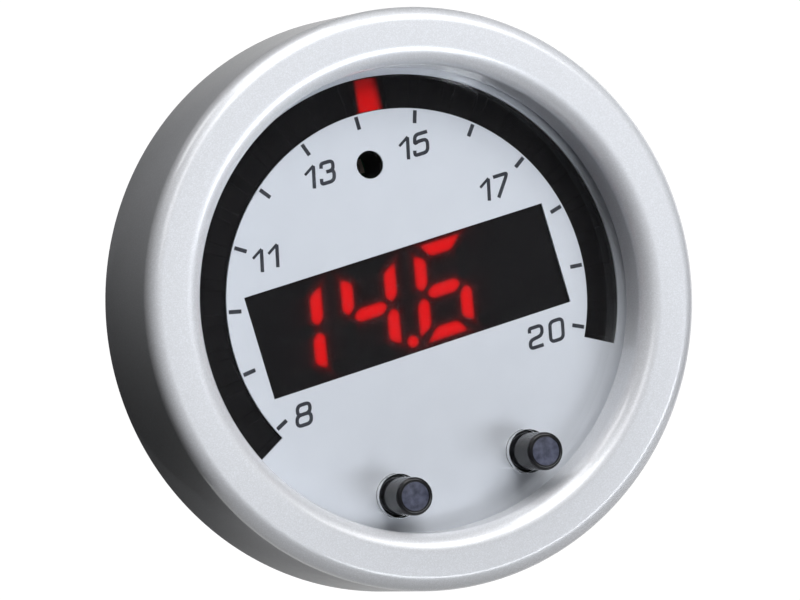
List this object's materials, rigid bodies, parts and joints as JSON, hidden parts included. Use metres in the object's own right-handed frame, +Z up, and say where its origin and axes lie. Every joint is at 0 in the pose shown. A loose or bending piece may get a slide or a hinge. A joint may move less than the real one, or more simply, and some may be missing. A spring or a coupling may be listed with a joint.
{
  "type": "air fuel ratio gauge",
  "caption": "Round panel gauge head with a curved light band, a red digital read-out, printed numbers and two push keys in a deep silver bezel.",
  "frame": {"origin": "on the dial axis, in the plane where the bezel sits against the panel", "axes": "+Y from the dial into the panel, along the cup; +Z up, from the keys to the top of the dial; +X to the right as the dial is read"},
  "size_m": [0.0602, 0.0331, 0.0602],
  "materials": {
    "silver_paint": "fine pearl under clear coat",
    "clear_lens": "clear polished plastic",
    "seal_rubber": "matte",
    "printed_face": "satin print",
    "smoked_filter": "smoked, polished",
    "black_moulding": "matte",
    "dark_light_pipe": "frosted",
    "lit_red": "lit from behind",
    "led_cream": "satin",
    "display_black": "matte",
    "dark_bar": "frosted",
    "pin_gold": "plated",
    "board_green": "solder mask",
    "sensor_dark": "clear dark resin",
    "switch_steel": "satin",
    "key_black": "polished",
    "chip_black": "matte",
    "coil_grey": "matte",
    "socket_black": "satin",
    "housing_black": "fine matte",
    "screw_steel": "zinc plated"
  },
  "bodies": {
    "gauge": {"bezel": "silver_paint", "lens": "clear_lens", "bezel_seal": "seal_rubber", "faceplate": "printed_face", "smoke_filter": "smoked_filter", "light_box": "black_moulding", "bar_light_pipes": "dark_light_pipe", "lit_light_pipe": "lit_red", "bar_leds": "led_cream", "display_block": "display_black", "lit_segments": "lit_red", "dark_segments": "dark_bar", "display_pins": "pin_gold", "display_board": "board_green", "light_sensor": "sensor_dark", "mode_switch": "switch_steel", "select_switch": "switch_steel", "board_link": "socket_black", "link_pins": "pin_gold", "main_board": "board_green", "processor_chip": "chip_black", "bus_chip": "chip_black", "regulator": "chip_black", "power_coil": "coil_grey", "harness_socket": "socket_black", "harness_pins": "pin_gold", "bus_socket": "socket_black", "bus_pins": "pin_gold", "housing": "housing_black", "neck_ring": "housing_black", "board_screws": "screw_steel", "mounting_studs": "screw_steel"},
    "mode_key": {"mode_button": "key_black", "mode_plunger": "black_moulding"},
    "select_key": {"select_button": "key_black", "select_plunger": "black_moulding"}
  },
  "joints": [
    {"name": "mode_key_press", "type": "slide", "parent": "gauge", "child": "mode_key", "axis": [0, 1, 0], "range_m": [0, 0.0003], "stiffness_N_per_m": 3000, "springref_m": -0.0001},
    {"name": "select_key_press", "type": "slide", "parent": "gauge", "child": "select_key", "axis": [0, 1, 0], "range_m": [0, 0.0003], "stiffness_N_per_m": 3000, "springref_m": -0.0001}
  ]
}
